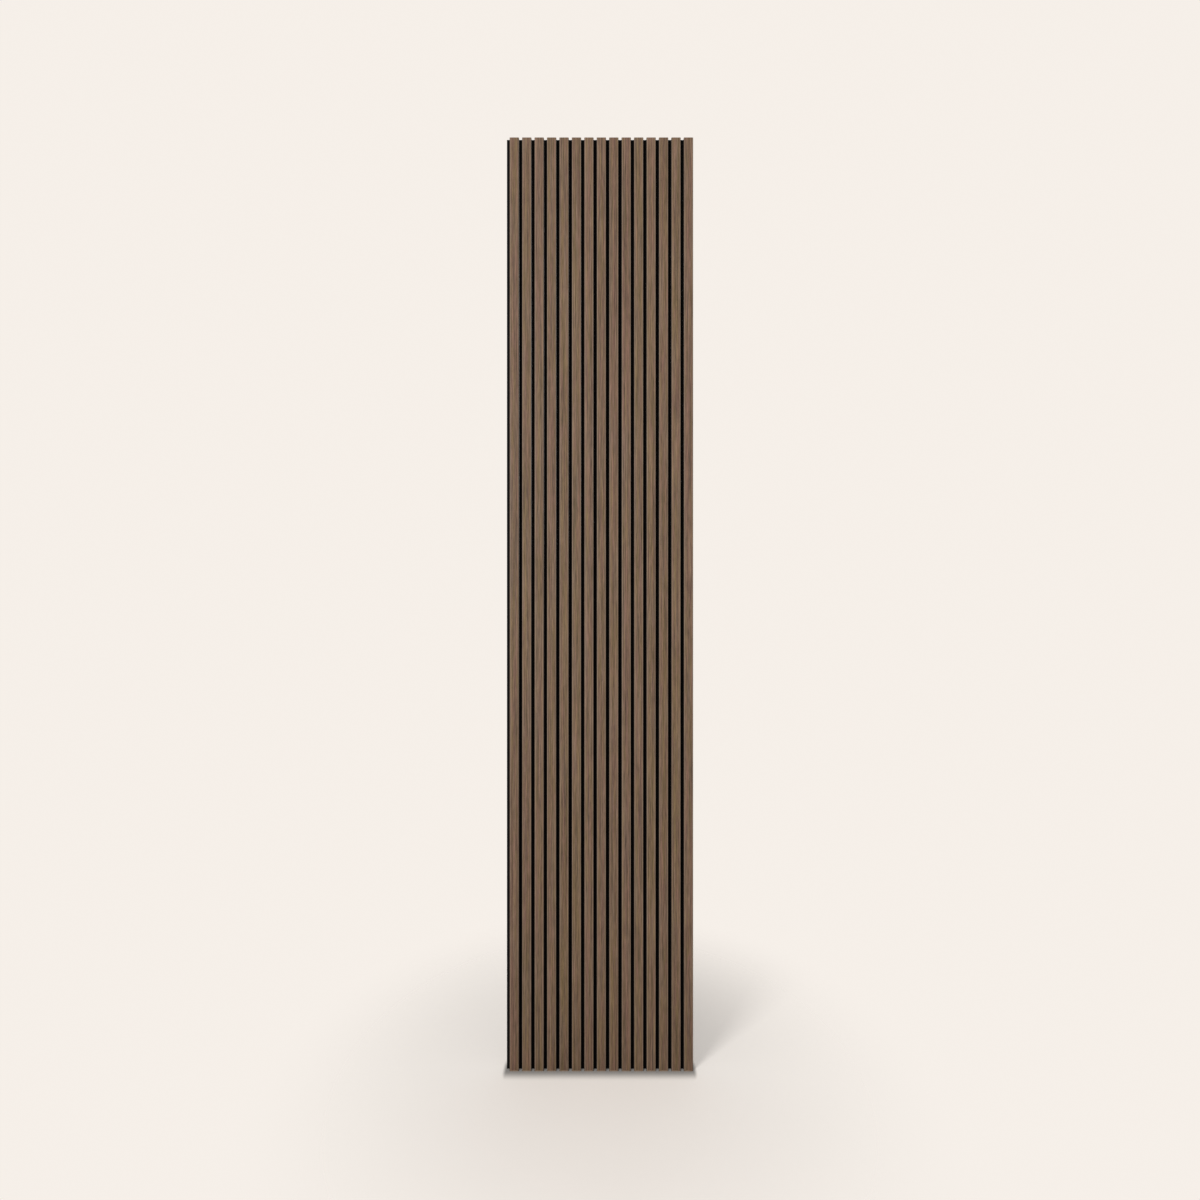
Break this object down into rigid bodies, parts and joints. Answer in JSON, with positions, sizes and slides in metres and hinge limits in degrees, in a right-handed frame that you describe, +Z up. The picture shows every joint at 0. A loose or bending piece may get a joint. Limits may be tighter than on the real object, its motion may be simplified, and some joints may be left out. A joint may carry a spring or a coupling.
{
  "type": "acoustic slat wall panel",
  "caption": "Tall sound-absorbing wall panel: narrow brown oak veneered slats, evenly spaced on a black felt backing that reaches past one long edge to meet the next panel.",
  "frame": {"origin": "centre of the felt backing's wall face", "axes": "+X across the slats to the right of someone facing the front, +Y from the front into the wall, +Z up along the slats"},
  "size_m": [0.6, 0.021, 3],
  "materials": {
    "veneer": "straight-grained brown oak veneer, matt lacquer",
    "felt": "black needled polyester felt",
    "staple_wire": "galvanised"
  },
  "bodies": {
    "root": {"felt_backing": "felt", "slat_01": "veneer", "slat_02": "veneer", "slat_03": "veneer", "slat_04": "veneer", "slat_05": "veneer", "slat_06": "veneer", "slat_07": "veneer", "slat_08": "veneer", "slat_09": "veneer", "slat_10": "veneer", "slat_11": "veneer", "slat_12": "veneer", "slat_13": "veneer", "slat_14": "veneer", "slat_15": "veneer", "staples": "staple_wire"}
  },
  "joints": []
}
